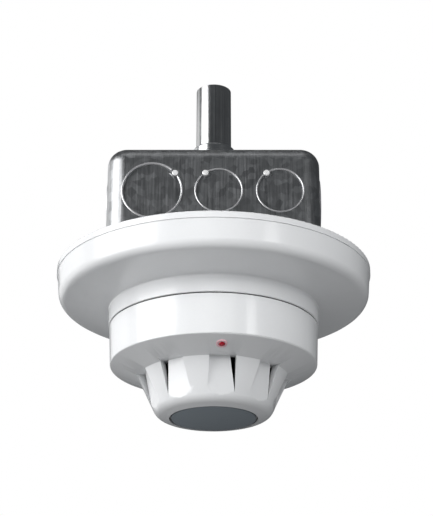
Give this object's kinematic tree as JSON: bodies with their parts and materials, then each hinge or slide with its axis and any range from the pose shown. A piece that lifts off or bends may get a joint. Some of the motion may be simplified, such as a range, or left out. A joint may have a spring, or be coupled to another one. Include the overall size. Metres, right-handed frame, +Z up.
{
  "type": "heat detector",
  "caption": "Pendant heat detector: plug-in sensing head with a vented cage under a flanged white base, on a square steel outlet box hung from a conduit stub.",
  "frame": {"origin": "centre of the conduit's free top end, where the unit hangs", "axes": "+Z up along the conduit, -Y the front with the front indicator lamp, +X to the right seen from the front"},
  "size_m": [0.155, 0.155, 0.1799],
  "materials": {
    "galvanised_sheet": "bright galvanised, drawn",
    "conduit_zinc": "zinc coated, satin",
    "plated_steel": "zinc plated",
    "contact_metal": "plain, springy sheet",
    "green_screw": "green dyed zinc",
    "white_plastic": "moulded, glossy",
    "grey_plastic": "moulded, satin",
    "black_plastic": "moulded, dull",
    "clear_plastic": "clear, polished",
    "red_lamp": "red tinted, polished",
    "board_green": "solder resist",
    "chip_black": "moulded epoxy",
    "thermistor_epoxy": "dipped epoxy",
    "capacitor_can": "sleeved can",
    "capsule_glass": "clear capsule"
  },
  "bodies": {
    "fixture": {"conduit_pendant": "conduit_zinc", "conduit_connector": "plated_steel", "connector_set_screw": "plated_steel", "connector_locknut": "plated_steel", "outlet_box": "galvanised_sheet", "ground_screw": "green_screw", "cover_ring": "galvanised_sheet", "cover_ring_screws": "plated_steel", "base_screws": "plated_steel", "mounting_base": "white_plastic", "contact_clip_1": "contact_metal", "contact_clip_2": "contact_metal", "contact_clip_3": "contact_metal", "contact_clip_4": "contact_metal", "terminal_clamps": "plated_steel", "terminal_screws": "plated_steel"},
    "head": {"contact_blade_1": "contact_metal", "contact_blade_2": "contact_metal", "contact_blade_3": "contact_metal", "head_cover": "white_plastic", "nose_disc": "grey_plastic", "indicator_bezel_front": "clear_plastic", "indicator_led_front": "red_lamp", "indicator_bezel_rear": "clear_plastic", "indicator_led_rear": "red_lamp", "head_backplate": "white_plastic", "head_screws": "plated_steel", "circuit_board": "board_green", "thermistor_carrier": "black_plastic", "thermistor_left": "thermistor_epoxy", "thermistor_right": "thermistor_epoxy", "reference_thermistor": "thermistor_epoxy", "processor_chip": "chip_black", "filter_capacitor": "capacitor_can", "surge_suppressor": "chip_black", "reed_switch": "capsule_glass"}
  },
  "joints": [
    {"name": "head_twist", "type": "hinge", "parent": "fixture", "child": "head", "pos_m": [0, 0, -0.132], "axis": [0, 0, -1], "range_deg": [0, 20]}
  ]
}
